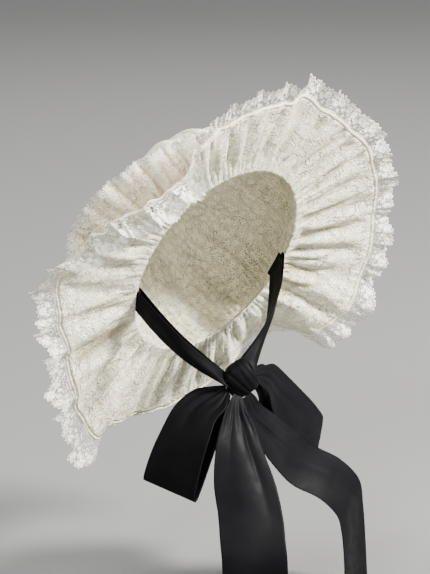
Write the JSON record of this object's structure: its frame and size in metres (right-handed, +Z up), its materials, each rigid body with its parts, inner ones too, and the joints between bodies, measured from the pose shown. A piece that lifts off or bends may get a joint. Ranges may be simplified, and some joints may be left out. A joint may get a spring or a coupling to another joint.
{
  "type": "gathered sunbonnet",
  "caption": "Soft cream cloth sunbonnet with a wide gathered brim, lace ruffles, a pleated crown and black ribbon ties bowed under the chin.",
  "frame": {"origin": "the seat of the head: the middle of the line between the two places where the ribbon is sewn in at the cheeks", "axes": "+Z up as worn, -Y the way the wearer faces, +X the wearer's left"},
  "size_m": [0.4606, 0.2828, 0.569],
  "materials": {
    "cream_jacquard": "matt woven cotton with a small raised floral pattern",
    "blush_cotton": "matt cotton, faintly pink",
    "cream_binding": "smooth bound cord",
    "white_lace": "open net lace with floral figures",
    "black_satin": "soft satin sheen"
  },
  "bodies": {
    "root": {"brim": "cream_jacquard", "brim_cord": "cream_binding", "brim_lace": "white_lace", "crown": "cream_jacquard", "crown_frill": "blush_cotton", "crown_frill_lace": "white_lace", "tie_right": "black_satin", "tie_left": "black_satin", "bow_knot": "black_satin", "bow_loop_right": "black_satin", "bow_loop_left": "black_satin", "bow_tail_front": "black_satin", "bow_tail_side": "black_satin"}
  },
  "joints": []
}
